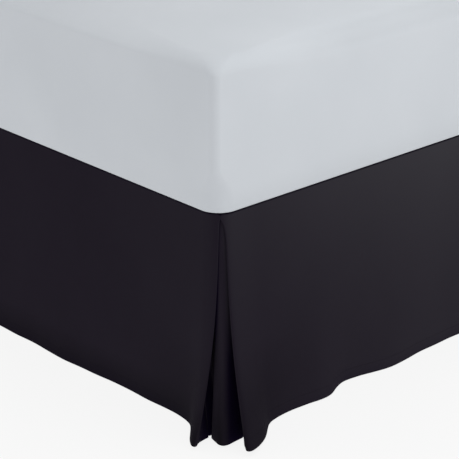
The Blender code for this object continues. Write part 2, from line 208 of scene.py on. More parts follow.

# Over each pair below, a painted shade or a painted sheen goes from none to all of it, or back. A pair
# that ends in span is metres of cloth from the pleat's fold, or round the corner on an underlay. One that
# ends in down is metres below the deck. One that ends in turned, ahead or raised is shares of the normal,
# aside, to the head or up.

# Painted grey sheen on the bed's sides, and its shares near the pleat and at the hem.
PAINTED_SHEEN = (0.0284, 0.0298, 0.0298)
PAINTED_SHEEN_NEAR, PAINTED_SHEEN_HEM = 0.484, 0.47
PAINTED_SHEEN_TURNED, PAINTED_SHEEN_SPAN = (0.80, 1.0), (0.05, 0.50)
PAINTED_SHEEN_LESS = 0.222                      # painted shade taken off that share, darkest low by the pleat
PAINTED_SHEEN_STRIP, PAINTED_SHEEN_STRIP_SPAN = 0.06, (0.04, 0.09)       # added to it beside the pleat's fold
PAINTED_SHEEN_FOOT = 0.10                       # share of the sheen on the foot panel by its pleats
PAINTED_SHEEN_AHEAD, PAINTED_SHEEN_FOOT_SPAN = (-0.75, -0.95), (0.05, 0.34)

# Shares by which painted shade makes the cloth darker: low down by a fold, on the foot and on a side,
# and at the foot's hem.
FOLD_SHADE_FOOT, FOLD_SHADE_SIDE, HEM_SHADE = 0.19, 0.27, 0.42
FOLD_SHADE_SPAN, FOLD_SHADE_DOWN = (0.04, 0.22), (0.60 * DROP, 0.85 * DROP)
SHADE_TURNED = (0.30, 0.70)
HEM_BAND = 0.06

# Painted shade in the pleats' recesses: openness at which the cloth is darkest and at which it is as
# light as the panels.
RECESS_REACH = 0.05
RECESS_DARK, RECESS_LIGHT, RECESS_FLOOR = 0.34, 0.92, 0.05
PAINTED_RECESS_SHADE = (0.0030, 0.0008, 0.0100, 1)
RECESS_EASE = 0.35                    # that the light end comes down at the hem, where the floor is near
RECESS_SHALLOW = 1.0                  # floor high up on an underlay's side part, where the pleat is shallow
SHALLOW_DOWN, SIDE_PART_SPAN = (0.42 * DROP, 0.66 * DROP), (-0.004, 0.002)
LIT_GAIN = 1.5                        # painted light an underlay gains facing the open side of its pleat
FACE_GAIN = 0.15                      # and that it is lighter there, the whole way down
LOW_GAIN_FOOT, LOW_GAIN_SIDE = 2.0, -0.25            # added to that low down, by the foot's fold and past it
LOW_GAIN_SPAN, LOW_GAIN_DOWN = (-0.008, 0.009), (0.62 * DROP, 0.78 * DROP)
UNDERLAY_HIGH = 1.14                  # painted light: lightness of the underlay high up, beside the panels'
UNDERLAY_HIGH_DOWN = (0.35 * DROP, 0.75 * DROP)
# Painted shadow: the dark line on an underlay beside the foot panel's fold.
CONTACT_REACH, CONTACT_DARK, CONTACT_LIGHT = 0.0115, 0.50, 0.86
CONTACT_SPAN = (0.001, 0.006)
OPEN_SIDE = (-0.674, -0.738)          # the way from the right underlay to the open side of its pleat

# The mattress cover's painted shade on the sides: above the lower edge, and on the upper edge away from the
# foot.
LOW_EDGE, LOW_EDGE_SHADE, LOW_EDGE_TURNED = 0.045, 0.045, (0.9, 1.0)
ROLL_SHADE, ROLL_FROM, ROLL_TO = 0.060, 0.06, 0.30
ROLL_RAISED, ROLL_TURNED = (0.10, 0.45), (0.20, 0.50)

# The mattress cover's upper edge: by the foot's corners, along the foot and along the sides. A span is the
# distance from a corner over which the first passes into one of the others.
NEAR_EDGE, FOOT_EDGE, SIDE_EDGE = Edge(0.030, 0.024), Edge(0.110, 0.025), Edge(0.050, 0.042)
FOOT_EDGE_SPAN, SIDE_EDGE_SPAN = (0.02, 0.30), (0.0, 0.25)
LOW_ROLL, HIGH_RADIUS, BULGE, FULLNESS, CROWN = 0.005, 0.014, 0.0045, 0.003, 0.010
SHARPEN_HEIGHT = (0.03, 0.08)         # over which its upright corners pass from round to tight
MATTRESS_ARC_STEPS, ROLL_STEPS, WALL_STEPS = 16, 16, 25

# The box spring's cover: its rolled edges, its tightest corner, and its welts with their distance from the
# edges and from the wall's first ring.
BEVEL, LEAST_RADIUS = 0.006, 0.006
WELT, WELT_INSET, WELT_CLEAR = 0.003, 0.020, 0.010

LEVEL_NORMAL = 0.7                    # past which a face of a solid counts as level

# The camera stands off the bed's right foot corner, as in the photograph.
CAMERA_FROM_CORNER = (2.238, -2.0172, 1.5965)
CAMERA_PITCH, CAMERA_YAW = 22.2177, -47.6027
CAMERA_LENS = 164.4

Softbox = namedtuple("Softbox", "name place aim width power colour")   # metres and watts
SOFTBOXES = (
    Softbox("side_softbox", (4.2, 1.2, 0.7), (0.76, -0.6, 0.4), 2.4, 24.5, (1.0, 0.99, 0.98)),
    Softbox("top_softbox", (1.02, -0.74, 1.30), (0.8, -0.7, 0.64), 0.5, 1.6, (0.98, 1.0, 0.99)),
    Softbox("foot_softbox", (-1.5, -1.9, 0.9), (0.3, -0.99, 0.5), 0.8, 2.4, (1.0, 0.99, 0.98)),
)
SKY_COLOUR, SKY_STRENGTH = (0.93, 0.93, 0.93, 1), 0.888
FLOOR_SIZE, FLOOR_COLOUR, FLOOR_GLOW = 30.0, (0.10, 0.10, 0.10, 1), 0.862


def rise(value, start, end):
    share = np.clip((value - start) / (end - start), 0.0, 1.0)
    return share * share * (3 - 2 * share)


def node_maker(tree):
    """A short way to add a node with its inputs, and to link a socket where an input is one."""
    def make(kind, inputs=None, **settings):
        node = tree.nodes.new(kind)
        for key, value in settings.items():
            setattr(node, key, value)
        for key, value in (inputs or {}).items():
            if isinstance(value, bpy.types.NodeSocket):
                tree.links.new(value, node.inputs[key])
            else:
                node.inputs[key].default_value = value
        return node
    return make


def blank_material(name):
    made = bpy.data.materials.new(name)
    made.use_nodes = True
    made.node_tree.nodes.clear()
    return made, node_maker(made.node_tree)


def maths(make, operation, *values, clamp=False):
    return make("ShaderNodeMath", dict(enumerate(values)), operation=operation, use_clamp=clamp).outputs[0]


def ramp(make, socket, start, end, first=0.0, last=1.0, soft=False):
    """A value that goes from first to last while the socket goes from start to end, and no further."""
    inputs = {0: socket, 1: start, 2: end, 3: first, 4: last}
    kind = "SMOOTHSTEP" if soft else "LINEAR"
    return make("ShaderNodeMapRange", inputs, interpolation_type=kind).outputs[0]


def blend(make, share, first, second):
    return make("ShaderNodeMix", {0: share, 2: first, 3: second}).outputs[0]


def tint(make, share, first, second):
    return make("ShaderNodeMix", {0: share, 6: first, 7: second}, data_type="RGBA").outputs[2]


def scaled(make, vector, factor):
    return make("ShaderNodeVectorMath", {0: vector, 3: factor}, operation="SCALE").outputs[0]


def stretched(make, vector, factors):
    return make("ShaderNodeVectorMath", {0: vector, 1: factors}, operation="MULTIPLY").outputs[0]


def noise(make, place, scale, detail, **more):
    return make("ShaderNodeTexNoise", {"Vector": place, "Scale": scale, "Detail": detail, **more}).outputs[0]


def parts_of(make, vector):
    return make("ShaderNodeSeparateXYZ", {"Vector": vector}).outputs


def face_normal(make):
    return make("ShaderNodeNewGeometry").outputs["Normal"]


def openness(make, reach):
    """1 where nothing stands within this reach of a point, and less the more it is shut in."""
    return make("ShaderNodeAmbientOcclusion", {"Distance": reach}, samples=8).outputs["AO"]


def weave_height(make, uv, pitch):
    """Height, from 0 to 1, of a plain weave: warp and weft pass over each other in turn, a pitch apart."""
    def wave(socket):
        return maths(make, "SINE", maths(make, "MULTIPLY", socket, math.pi / pitch))

    place = parts_of(make, uv)
    across, down = wave(place["X"]), wave(place["Y"])
    warp_up = maths(make, "GREATER_THAN", maths(make, "MULTIPLY", across, down), 0.0)
    return blend(make, warp_up, maths(make, "ABSOLUTE", across), maths(make, "ABSOLUTE", down))


def cloth_spot(make):
    """Where on the cloth a point is and which way it faces, as sockets."""
    uv = make("ShaderNodeUVMap", uv_map="cloth").outputs["UV"]
    place = parts_of(make, uv)
    normal = face_normal(make)
    facing = parts_of(make, normal)
    aside = maths(make, "ABSOLUTE", facing["X"])
    at_hem = ramp(make, place["Y"], DROP - HEM_BAND, DROP)
    return Spot(uv, place["X"], place["Y"], normal, facing["Y"], aside, at_hem)


def tone_with_painted_shade(make, spot, fine):
    """Softly mottled cloth colour, with painted shade low down by a fold and at the foot panel's hem."""
    mottle = noise(make, stretched(make, spot.uv, (7, 5, 1)), 1.0, 3.0)
    broad = ramp(make, mottle, 0.3, 0.7, 0.28, 0.72)
    share = maths(make, "ADD", broad, ramp(make, fine, 1.1, 1.9, -0.16, 0.16), clamp=True)
    on_side = ramp(make, spot.aside, *SHADE_TURNED)
    by_fold = ramp(make, spot.from_fold, *FOLD_SHADE_SPAN, 1.0, 0.0, soft=True)
    low_down = ramp(make, spot.down, *FOLD_SHADE_DOWN)
    strength = blend(make, on_side, FOLD_SHADE_FOOT, FOLD_SHADE_SIDE)
    fold_shade = maths(make, "MULTIPLY", maths(make, "MULTIPLY", by_fold, low_down), strength)
    shade = maths(make, "MULTIPLY_ADD", spot.at_hem, blend(make, on_side, HEM_SHADE, 0.0), fold_shade)
    return scaled(make, tint(make, share, CLOTH_LOW, CLOTH_HIGH), maths(make, "SUBTRACT", 1.0, shade))


def painted_sheen(make, spot):
    """Painted grey sheen: on the sides, most high up and far from a pleat, and on the foot by a pleat."""
    upward = maths(make, "POWER", ramp(make, spot.down, 0.0, DROP, 1.0, 0.0), 2.0)
    high_up = maths(make, "MULTIPLY_ADD", upward, 1 - PAINTED_SHEEN_HEM, PAINTED_SHEEN_HEM)
    away = ramp(make, spot.from_fold, *PAINTED_SHEEN_SPAN, PAINTED_SHEEN_NEAR, 1.0)
    # below none the share is painted shade, darkest low by the pleat
    strip = ramp(make, spot.from_fold, *PAINTED_SHEEN_STRIP_SPAN, PAINTED_SHEEN_STRIP - PAINTED_SHEEN_LESS, -PAINTED_SHEEN_LESS, soft=True)
    on_side = ramp(make, spot.aside, *PAINTED_SHEEN_TURNED)
    side_share = maths(make, "MULTIPLY", on_side, maths(make, "MULTIPLY_ADD", away, high_up, strip))
    on_foot = ramp(make, spot.ahead, *PAINTED_SHEEN_AHEAD, 0.0, PAINTED_SHEEN_FOOT)
    by_pleat = ramp(make, spot.from_fold, *PAINTED_SHEEN_FOOT_SPAN, 1.0, 0.0, soft=True)
    share = maths(make, "MULTIPLY_ADD", on_foot, maths(make, "MULTIPLY", by_pleat, high_up), side_share)
    return scaled(make, PAINTED_SHEEN, share)


def underlay_gain(make, spot, forward):
    """Painted light: how much lighter an underlay is than the panels, high up and facing its pleat's opening.
    """
    high_gain = ramp(make, spot.down, *UNDERLAY_HIGH_DOWN, UNDERLAY_HIGH, 1.0)
    low_gain = ramp(make, spot.from_fold, *LOW_GAIN_SPAN, LOW_GAIN_FOOT, LOW_GAIN_SIDE)
    face_share = maths(make, "MULTIPLY_ADD", low_gain, ramp(make, spot.down, *LOW_GAIN_DOWN), FACE_GAIN)
    return maths(make, "MULTIPLY", high_gain, maths(make, "MULTIPLY_ADD", forward, face_share, 1.0))


def underlay_floor(make, spot):
    """Least painted light in a recess: more high up on an underlay's side part, where the pleat is shallow.
    """
    by_depth = ramp(make, spot.down, *SHALLOW_DOWN, RECESS_SHALLOW, RECESS_FLOOR)
    return blend(make, ramp(make, spot.from_fold, *SIDE_PART_SPAN), RECESS_FLOOR, by_depth)


def fold_contact(make, spot):
    """Painted shadow: the dark line on an underlay beside the foot panel's fold, 0 in it and 1 elsewhere."""
    near_share = ramp(make, openness(make, CONTACT_REACH), CONTACT_DARK, CONTACT_LIGHT)
    return blend(make, ramp(make, spot.from_fold, *CONTACT_SPAN), near_share, 1.0)


def skirt_material(name, lit_from=None):
    """Near-black brushed microfibre: a fine plain weave, faint slubs along both threads and a soft mottle.

    The panels have a painted grey sheen, and all of it has painted shade, darkest in the pleats' recesses.
    lit_from is the way to the open side of a pleat, for the underlay in it, which gets painted light from
    there.
    """
    made, make = blank_material(name)
    spot = cloth_spot(make)
    warp_slub = noise(make, stretched(make, spot.uv, (900, 35, 1)), 1.0, 2.0)
    weft_slub = noise(make, stretched(make, spot.uv, (35, 900, 1)), 1.0, 2.0)
    fuzz = noise(make, stretched(make, spot.uv, (160, 90, 1)), 1.0, 4.0)
    fine = maths(make, "ADD", maths(make, "ADD", warp_slub, weft_slub), fuzz)
    tone, sheen = tone_with_painted_shade(make, spot, fine), painted_sheen(make, spot)
    # brushed is the cloth's tone with the painted sheen added
    brushed = make("ShaderNodeVectorMath", {0: tone, 1: sheen}, operation="ADD").outputs[0]
    lit, least, contact = openness(make, RECESS_REACH), RECESS_FLOOR, 1.0
    if lit_from:
        # painted light on an underlay's copy of the cloth: lighter where it faces its pleat's open side
        toward = make("ShaderNodeVectorMath", {0: spot.normal, 1: lit_from}, operation="DOT_PRODUCT")
        forward = maths(make, "MAXIMUM", toward.outputs["Value"], 0.0)
        lit = maths(make, "MULTIPLY_ADD", forward, LIT_GAIN, lit)
        least, contact = underlay_floor(make, spot), fold_contact(make, spot)
        brushed = scaled(make, brushed, underlay_gain(make, spot, forward))
    # painted shade: the cloth goes to the recess's dark colour the less open it is
    light_end = maths(make, "MULTIPLY_ADD", spot.at_hem, -RECESS_EASE, RECESS_LIGHT)
    opened = maths(make, "MULTIPLY", ramp(make, lit, RECESS_DARK, light_end, least, 1.0), contact)
    height = maths(make, "MULTIPLY_ADD", fine, 0.35, weave_height(make, spot.uv, SKIRT_WEAVE))
    bump = make("ShaderNodeBump", {"Height": height, "Strength": 0.5, "Distance": 0.00012})
    shader = make("ShaderNodeBsdfPrincipled", {
        "Base Color": tint(make, opened, PAINTED_RECESS_SHADE, brushed), "Normal": bump.outputs[0],
        "Roughness": 0.9, "Specular IOR Level": 0.02,
        "Sheen Weight": 0.006, "Sheen Roughness": 0.5, "Sheen Tint": (0.80, 0.72, 0.90, 1.0),
    })
    make("ShaderNodeOutputMaterial", {"Surface": shader.outputs[0]})
    return made


def thread_material(name, colour):
    made, make = blank_material(name)
    place = make("ShaderNodeTexCoord").outputs["Object"]
    wave = {"Vector": place, "Scale": 900.0, "Distortion": 0.6}
    twist = make("ShaderNodeTexWave", wave, bands_direction="DIAGONAL").outputs["Fac"]
    bump = make("ShaderNodeBump", {"Height": twist, "Strength": 0.4, "Distance": 0.0001})
    shader = make("ShaderNodeBsdfPrincipled", {
        "Base Color": tint(make, twist, colour, [0.6 * c for c in colour[:3]] + [1]),
        "Roughness": 0.7, "Specular IOR Level": 0.05, "Normal": bump.outputs[0],
    })
    make("ShaderNodeOutputMaterial", {"Surface": shader.outputs[0]})
    return made


def painted_cover_shade(make, place):
    """Painted shade: how much darker the mattress's sides are, above the lower edge and on the upper edge."""
    spot, facing = parts_of(make, place), parts_of(make, face_normal(make))
    aside = maths(make, "ABSOLUTE", facing["X"])
    on_side = ramp(make, aside, *LOW_EDGE_TURNED, 0.0, LOW_EDGE_SHADE)
    by_edge = ramp(make, spot["Z"], DROP, DROP + LOW_EDGE, 1.0, 0.0, soft=True)
    on_roll = maths(make, "MULTIPLY", ramp(make, facing["Z"], *ROLL_RAISED), ramp(make, aside, *ROLL_TURNED))
    from_foot = ramp(make, spot["Y"], FOOT_Y + ROLL_FROM, FOOT_Y + ROLL_TO, 0.0, ROLL_SHADE)
    return maths(make, "MULTIPLY_ADD", on_side, by_edge, maths(make, "MULTIPLY", on_roll, from_foot))


def cotton_material(name, low, high, weave, wrinkle, shaded=False):
    """Woven cotton cover: plain weave, a broad soft wrinkle in the bump and a faint tint variation.

    weave is the threads' pitch and wrinkle the creases' height. A shaded one has the mattress's painted
    shade.
    """
    made, make = blank_material(name)
    uv = make("ShaderNodeUVMap", uv_map="cloth").outputs["UV"]
    place = make("ShaderNodeTexCoord").outputs["Object"]
    soft = noise(make, place, 5.0, 4.0, Roughness=0.45)
    slub = noise(make, stretched(make, uv, (50, 1100, 1)), 1.0, 2.0)
    share = maths(make, "MULTIPLY_ADD", slub, 0.3, ramp(make, soft, 0.3, 0.7, 0.2, 0.8))
    tone = tint(make, share, low, high)
    if shaded:
        tone = scaled(make, tone, maths(make, "SUBTRACT", 1.0, painted_cover_shade(make, place)))
    fine = make("ShaderNodeBump", {
        "Height": weave_height(make, uv, weave), "Strength": 0.4, "Distance": 0.0001,
    })
    broad = make("ShaderNodeBump", {
        "Height": noise(make, place, 22.0, 3.0, Distortion=0.8), "Strength": 0.35, "Distance": wrinkle,
        "Normal": fine.outputs[0],
    })
    shader = make("ShaderNodeBsdfPrincipled", {
        "Base Color": tone, "Roughness": 0.85, "Specular IOR Level": 0.25,
        "Sheen Weight": 0.1, "Sheen Roughness": 0.5, "Normal": broad.outputs[0],
    })
    make("ShaderNodeOutputMaterial", {"Surface": shader.outputs[0]})
    return made


def wood_material(name):
    """Dark stained wood with its grain along the leg."""
    made, make = blank_material(name)
    place = stretched(make, make("ShaderNodeTexCoord").outputs["Object"], (60.0, 60.0, 4.0))
    grain = noise(make, place, 1.0, 6.0, Distortion=0.4)
    pores = noise(make, place, 6.0, 3.0)
    bump = make("ShaderNodeBump", {"Height": pores, "Strength": 0.3, "Distance": 0.0004})
    shader = make("ShaderNodeBsdfPrincipled", {
        "Base Color": tint(make, grain, WOOD_LOW, WOOD_HIGH), "Normal": bump.outputs[0],
        "Roughness": ramp(make, pores, 0.0, 1.0, 0.35, 0.6),
    })
    make("ShaderNodeOutputMaterial", {"Surface": shader.outputs[0]})
    return made


def floor_material(name):
    """Pale seamless paper, lit evenly enough that the bed leaves only a trace of shadow on it."""
    made, make = blank_material(name)
    diffuse = make("ShaderNodeBsdfDiffuse", {"Color": FLOOR_COLOUR})
    glow = make("ShaderNodeEmission", {"Color": (1, 1, 1, 1), "Strength": FLOOR_GLOW})
    both = make("ShaderNodeAddShader", {0: diffuse.outputs[0], 1: glow.outputs[0]})
    make("ShaderNodeOutputMaterial", {"Surface": both.outputs[0]})
    return made


def add_mesh(name, verts, faces, finish, uvs=None, sharp_degrees=None):
    """A smooth mesh that rides on the bed. uvs holds one (u, v) for each vertex, in metres of cloth."""
    mesh = bpy.data.meshes.new(name)
    mesh.from_pydata([tuple(v) for v in verts], [], [tuple(f) for f in faces])
    if uvs is not None:
        layer = mesh.uv_layers.new(name="cloth")
        loops = np.empty(len(mesh.loops), dtype=np.int64)
        mesh.loops.foreach_get("vertex_index", loops)
        layer.data.foreach_set("uv", np.asarray(uvs, dtype=np.float32)[loops].ravel())
    mesh.shade_smooth()
    if sharp_degrees:
        mesh.set_sharp_from_angle(angle=math.radians(sharp_degrees))
    mesh.materials.append(finish)
    made = bpy.data.objects.new(name, mesh)
    bpy.context.scene.collection.objects.link(made)
    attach(made, "root")
    return made


def table_curve(table, keys):
    """A table's fields at these keys, on a smooth curve through its rows, as one array for each field."""
    rows = np.array(table, dtype=float)
    at_rows, fields = rows[:, 0], rows[:, 1:]
    keys = np.clip(np.asarray(keys, dtype=float), at_rows[0], at_rows[-1])
    before = np.maximum(np.arange(len(rows)) - 1, 0)
    after = np.minimum(np.arange(len(rows)) + 1, len(rows) - 1)
    slopes = (fields[after] - fields[before]) / (at_rows[after] - at_rows[before])[:, None]
    index = np.clip(np.searchsorted(at_rows, keys, side="right") - 1, 0, len(rows) - 2)
    span = (at_rows[index + 1] - at_rows[index])[:, None]
    t = (keys - at_rows[index])[:, None] / span
    values = (
        (2 * t**3 - 3 * t**2 + 1) * fields[index] + (t**3 - 2 * t**2 + t) * slopes[index] * span
        + (3 * t**2 - 2 * t**3) * fields[index + 1] + (t**3 - t**2) * slopes[index + 1] * span
    )
    return values.T


def outline(reach, inset):
    """Points of the foot corner's outline, as (along, out), this far from the middle of the corner."""
    angle = np.maximum(HALF_ARC - reach, 0.0) / CORNER_RADIUS
    radius = CORNER_RADIUS - inset
    past = np.maximum(reach - HALF_ARC, 0.0)
    return CORNER_RADIUS - radius * np.sin(angle) + past, radius * np.cos(angle) - CORNER_RADIUS


def fold_shift(depth, meet, slide):
    """How far along the outline a fold stands from the middle of its corner, at this share of the drop."""
    parted = 1 - np.exp(-np.maximum(depth - SLIDE_START, 0.0) / SLIDE_PACE)
    return meet + slide * parted * (1 - depth**2) - SEAM_CLOSES * FOLD_GAP / 2 * closed(depth)


def closed(depth):
    """1 where the two folds of a pleat are sewn together at the top, 0 where they hang free."""
    return 1 - rise(depth, CLOSED_TO, OPEN_FROM)


def pleat_top(cloth, depth, meet, slide):
    """Where the cloth of a folded-back panel would lie on the bed's outline, as (along, out).

    The fold's turn is round where it hangs free, and pressed square where it is sewn to the other fold.
    """
    shift = fold_shift(depth, meet, slide)
    beyond = np.maximum(np.abs(cloth) - TURN_LENGTH, 0.0)
    turn = np.clip(cloth / TURN_RADIUS, -math.pi / 2, math.pi / 2)
    give = np.where(cloth > 0, shift * np.maximum(1 - beyond / SLIDE_FADE, 0.0) ** 2, shift)
    power = 1 - SEAM_PRESSES * closed(depth) * (cloth > 0)
    ahead = np.maximum(np.cos(turn), 0.0) ** power
    toward = np.sign(turn) * np.abs(np.sin(turn)) ** power
    reach = FOLD_REACH + give + beyond - TURN_RADIUS * ahead
    return outline(reach, CLOTH / 2 + TURN_RADIUS * (1 - toward))


def with_waves(pleat, waves):
    straight = CORNER_RADIUS - HALF_ARC + FOLD_REACH - TURN_LENGTH
    rows = [Station(wave.along - straight / MM, wave.along, wave.out, HEM_LIFT / MM) for wave in waves]
    return tuple(pleat) + tuple(rows)


def ripple(cloth, depth, seed):
    """Slight unevenness of hanging cloth: a few soft upright waves that grow downwards, none at the pleat."""
    draws = np.random.default_rng(seed)
    total = np.zeros(np.broadcast(cloth, depth).shape)
    for length in RIPPLE_LENGTHS:
        phase, lean, size = draws.uniform(0, 2 * math.pi), draws.uniform(-0.5, 0.5), draws.uniform(0.5, 1.0)
        total = total + size * length * np.sin(2 * math.pi * (cloth + lean * depth * DROP) / length + phase)
    return RIPPLE_SIZE * total * depth**RIPPLE_POWER * rise(cloth, *RIPPLE_SPAN)


def panel_grid(cloth, depth, hem, flare, meet, slide, power, seed):
    """A drop's middle surface, as grids of (along, out, height); rows go down, columns along the cloth."""
    u, v = cloth[None, :], depth[:, None]
    along_hem, out_hem, lift = (field[None, :] * MM for field in table_curve(hem, cloth / MM))
    top = np.where(u > TUCKED_TO, DROP, DROP - TUCK_DEPTH)
    along, out = pleat_top(u, v, meet, slide)
    share = flare * v**power
    low = HEM_LIFT + flare * (lift - HEM_LIFT)
    out = out + share * (out_hem - out) + ripple(u, v, seed)
    return along + share * (along_hem - along), out, top + v * (low - top)


def uneven(start, end, steps):
    return np.linspace(start, end, steps, endpoint=False)


def panel_steps(hem, end):
    """Column places along a panel: fine on the return, finest round the fold, then about every 6 mm."""
    back = hem[0].cloth * MM
    parts = [
        uneven(back, -FOLD_NEAR, 16),
        uneven(-FOLD_NEAR, -TURN_LENGTH, 9),
        uneven(-TURN_LENGTH, TURN_LENGTH, 10),
        uneven(TURN_LENGTH, FOLD_NEAR, 9),
        uneven(FOLD_NEAR, FOLD_FAR, 44),
    ]
    rest = int((end - FOLD_FAR) / PANEL_STEP)
    return np.concatenate(parts + [np.linspace(FOLD_FAR, end, rest)])


def depth_rows():
    """Row places down a panel: close at the top, where the pleats part, and at the hem and its stitches."""
    hem_start, stitch = 1 - HEM_DEPTH / DROP, 1 - STITCH_ABOVE / DROP
    near = CLOSE_ROW / DROP
    return np.concatenate([
        np.linspace(0, TOP_ROWS_TO, 17, endpoint=False),
        np.linspace(TOP_ROWS_TO, hem_start - 3 * near, 30, endpoint=False),
        [hem_start - near, hem_start + near, stitch - near, stitch, stitch + near],
        np.linspace(stitch + 3 * near, 1 - 1.5 * near, 7), [1.0],
    ])


def grid_normals(points):
    across = np.gradient(points, axis=1)
    down = np.gradient(points, axis=0)
    normals = np.cross(across, down)
    return normals / np.linalg.norm(normals, axis=2, keepdims=True)


def sewn_sheet(name, points, cloth, depth, finish, outward, mitre=0.0):
    """A closed thin sheet on a grid of middle points, with a turned-up hem and a stitch line at its bottom.

    outward is 1 where the grid's normals point away from the bed and -1 where they point in. mitre is the
    share by which the front stands further out, to fill a square fold's corner.
    """
    rows, columns = points.shape[:2]
    normals = outward * grid_normals(points)
    from_hem = (1 - depth) * DROP
    doubled = rise(-from_hem, -HEM_DEPTH - HEM_STEP, -HEM_DEPTH + HEM_STEP)
    dimple = np.exp(-(((from_hem - STITCH_ABOVE) / DIMPLE_WIDTH) ** 2)) * DIMPLE_DEPTH
    rounded = 1 - EDGE_ROUND * np.exp(-from_hem / EDGE_REACH)
    front = (CLOTH / 2 - dimple) * rounded
    back = (CLOTH / 2 + HEM_EXTRA * doubled) * rounded
    outer = points + normals * (front[:, None] * (1 + mitre))[..., None]
    inner = points - normals * back[:, None, None]
    verts = np.concatenate([outer.reshape(-1, 3), inner.reshape(-1, 3)])
    uv = np.stack(np.broadcast_arrays(cloth[None, :], (depth * DROP)[:, None]), axis=2).reshape(-1, 2)
    count = rows * columns
    index = np.arange(count).reshape(rows, columns)
    a, b, c, d = index[:-1, :-1], index[:-1, 1:], index[1:, 1:], index[1:, :-1]
    shell = np.stack([a, b, c, d], axis=-1).reshape(-1, 4)
    rim = np.concatenate([index[0, :], index[1:, -1], index[-1, -2::-1], index[-2:0:-1, 0]])
    following = np.roll(rim, -1)
    edge = np.stack([rim + count, following + count, following, rim], axis=-1)
    if outward < 0:
        shell, edge = shell[:, ::-1], edge[:, ::-1]
    faces = np.concatenate([shell, (shell + count)[:, ::-1], edge])
    return add_mesh(name, verts, faces, finish, np.concatenate([uv, uv])), outer


def run_of(points):
    steps = np.linalg.norm(np.diff(points, axis=0), axis=1)
    return np.concatenate([[0.0], np.cumsum(steps)])


def stitches(name, outer, depth, finish, outward):
    """A row of thread stitches along a panel's stitch line, each a short six-sided pod with drawn-in ends."""
    row = int(np.argmin(np.abs((1 - depth) * DROP - STITCH_ABOVE)))
    line = outer[row]
    normal = outward * grid_normals(outer)[row]
    run = run_of(line)
    starts = np.arange(STITCH_CLEAR, run[-1] - STITCH_CLEAR - STITCH_LENGTH, STITCH_PITCH)
    sides, verts, faces = 6, [], []
    for start in starts:
        base = len(verts)
        for station in STITCH:
            at = start + station.share * STITCH_LENGTH
            centre = np.array([np.interp(at, run, line[:, k]) for k in range(3)])
            up = np.array([np.interp(at, run, normal[:, k]) for k in range(3)])
            centre = centre + up * THREAD * station.lift
            for side in range(sides):
                angle = 2 * math.pi * side / sides
                ring = up * math.cos(angle) + np.array([0, 0, 1.0]) * math.sin(angle)
                verts.append(centre + ring * THREAD * station.girth)
        for level in range(len(STITCH) - 1):
            for side in range(sides):
                low, high = base + level * sides, base + (level + 1) * sides
                following = (side + 1) % sides
                faces.append((low + side, low + following, high + following, high + side))
        faces.append(tuple(base + side for side in range(sides))[::-1])
        faces.append(tuple(base + (len(STITCH) - 1) * sides + side for side in range(sides)))
    return add_mesh(name, verts, faces, finish)


def fold_mitre(cloth, depth):
    turn = np.clip(cloth / TURN_RADIUS, 0, math.pi / 2)
    return SQUARE_MITRE * np.sin(2 * turn)[None, :] * closed(depth)[:, None]


def foot_to_world(side, grids):
    along, out, height = grids
    return np.stack([side * (BED_WIDTH / 2 - along), FOOT_Y - out, height], axis=-1)


def side_to_world(side, grids):
    along, out, height = grids
    return np.stack([side * (BED_WIDTH / 2 + out), FOOT_Y + along, height], axis=-1)


def foot_drop(cloth_finish, thread):
    depth = depth_rows()
    halves, places, mitres = [], [], []
    for corner, waves, seed in zip(CORNERS, (FOOT_WAVES_RIGHT, FOOT_WAVES_LEFT), (11, 12)):
        hem = with_waves(FOOT_PLEAT, waves)
        end = hem[-1].cloth * MM
        cloth = panel_steps(hem, end)
        grids = panel_grid(cloth, depth, hem, corner.flare, -corner.meet, corner.foot_slide, FOOT_POWER, seed)
        points = foot_to_world(corner.side, grids)
        middle = rise(cloth, end - MIDDLE_SPAN, end)[None, :]
        points[..., 1] += (FOOT_Y + CLOTH / 2 - points[..., 1]) * middle
        halves.append(points)
        places.append(cloth)
        mitres.append(fold_mitre(cloth, depth))
    points = np.concatenate([halves[1], halves[0][:, -2::-1]], axis=1)
    cloth = np.concatenate([places[1], places[0][-2::-1]])
    mitre = np.concatenate([mitres[1], mitres[0][:, -2::-1]], axis=1)
    made, outer = sewn_sheet("foot_drop_cloth", points, cloth, depth, cloth_finish, -1, mitre)
    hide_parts("foot_drop")
    seam = stitches("foot_drop_stitches", outer, depth, thread, -1)


def side_drop(corner, waves, seed, cloth_finish, thread):
    depth = depth_rows()
    hem = with_waves(SIDE_PLEAT, waves)
    cloth = panel_steps(hem, hem[-1].cloth * MM - HEAD_MARGIN)
    grids = panel_grid(cloth, depth, hem, corner.flare, corner.meet, corner.side_slide, SIDE_POWER, seed)
    points = side_to_world(corner.side, grids)
    name = "side_drop_" + corner.name
    mitre = fold_mitre(cloth, depth)
    made, outer = sewn_sheet(name + "_cloth", points, cloth, depth, cloth_finish, -corner.side, mitre)
    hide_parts(name)
    seam = stitches(name + "_stitches", outer, depth, thread, -corner.side)


